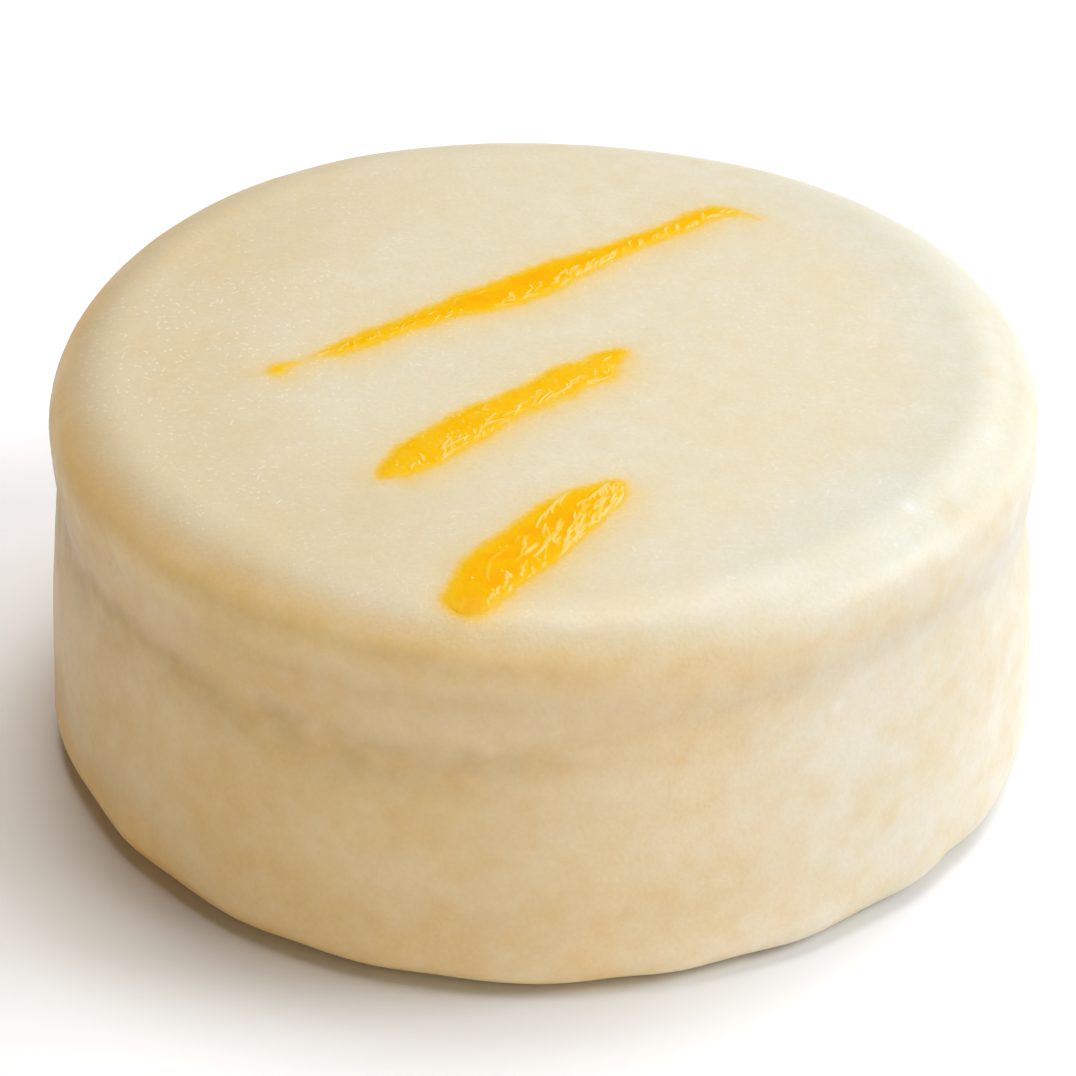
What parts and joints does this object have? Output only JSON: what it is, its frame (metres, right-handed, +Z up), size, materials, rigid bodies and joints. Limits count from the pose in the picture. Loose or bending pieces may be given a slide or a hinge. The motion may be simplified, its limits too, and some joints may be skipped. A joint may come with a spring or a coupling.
{
  "type": "alfajor cookie",
  "caption": "Round sandwich biscuit dipped whole in white chocolate, with a soft waist where the filling lies and slanting strokes of yellow fruit glaze across its top.",
  "frame": {"origin": "middle of the flat base, on the surface that the biscuit stands on", "axes": "+Z up out of the top face, -Y towards the front where the glaze strokes begin, +X to the right"},
  "size_m": [0.0604, 0.0604, 0.0261],
  "materials": {
    "coating": "satin",
    "glaze": "gloss"
  },
  "bodies": {
    "root": {"alfajor": "coating"}
  },
  "joints": []
}
